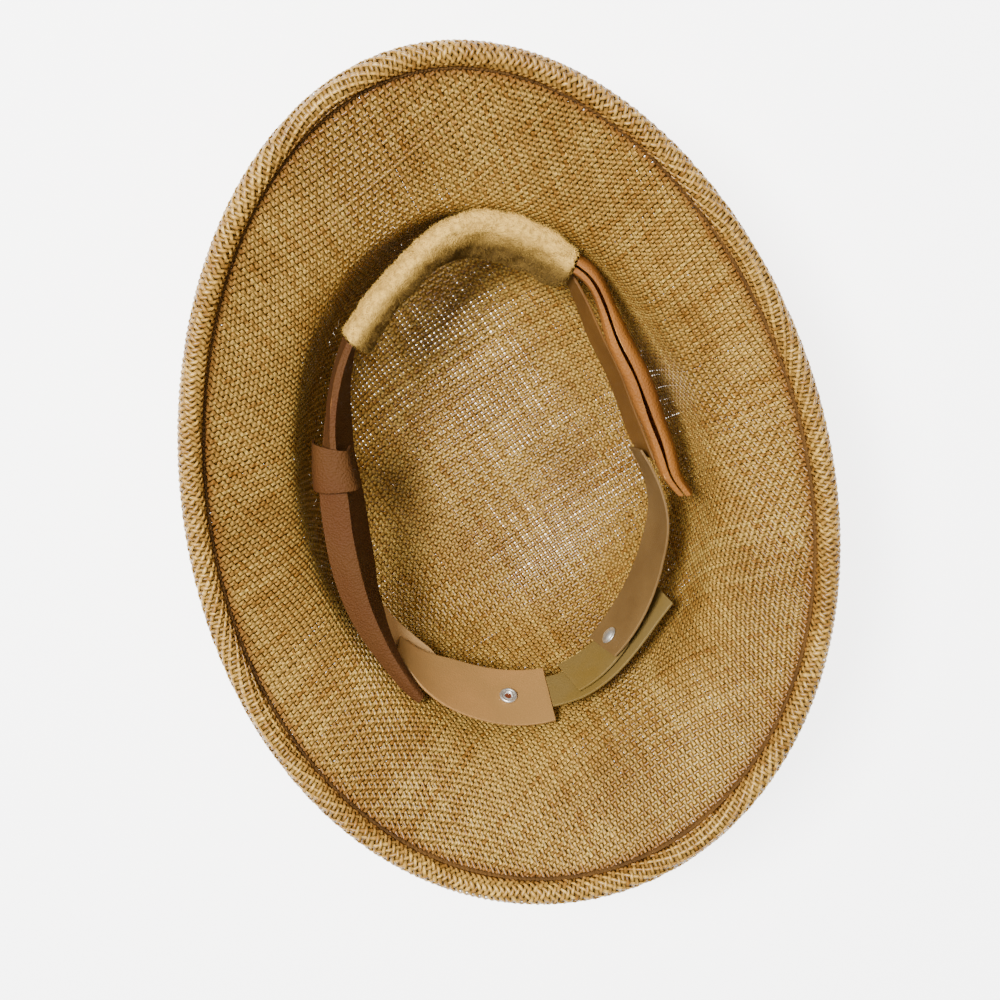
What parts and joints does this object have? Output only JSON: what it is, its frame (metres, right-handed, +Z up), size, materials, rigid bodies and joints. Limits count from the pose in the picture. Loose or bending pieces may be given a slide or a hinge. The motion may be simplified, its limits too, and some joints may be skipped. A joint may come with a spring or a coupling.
{
  "type": "pith helmet",
  "caption": "Woven straw pith helmet lying on its crown, with a rolled brim edge and an open adjustable headband of folded leather, brow pad and snap straps.",
  "frame": {"origin": "under the middle of the hat's bounding box, on the surface that the crown rests on", "axes": "+Z up from the crown's top through the open headband; the front of the hat faces -Y and the wearer's right is +X"},
  "size_m": [0.2638, 0.353, 0.146],
  "materials": {
    "straw": "two layers of open straw weave, lightly varnished",
    "foam": "napped cloth over thin foam",
    "leather": "worn brown leather, folded lengthwise",
    "tan_vinyl": "smooth tan vinyl",
    "khaki_vinyl": "dull khaki vinyl",
    "steel": "nickel-plated snap"
  },
  "bodies": {
    "root": {"straw_crown": "straw", "straw_brim": "straw", "rolled_edge": "straw", "brow_pad": "foam", "sweatband_left": "leather", "sweatband_right": "leather", "leather_keeper": "leather", "tan_band_left": "tan_vinyl", "tan_band_right": "tan_vinyl", "snap_strap_left": "tan_vinyl", "snap_strap_right": "tan_vinyl", "adjuster_strap_inner": "khaki_vinyl", "adjuster_strap_outer": "khaki_vinyl", "snap_cap": "steel", "snap_socket": "steel"}
  },
  "joints": []
}
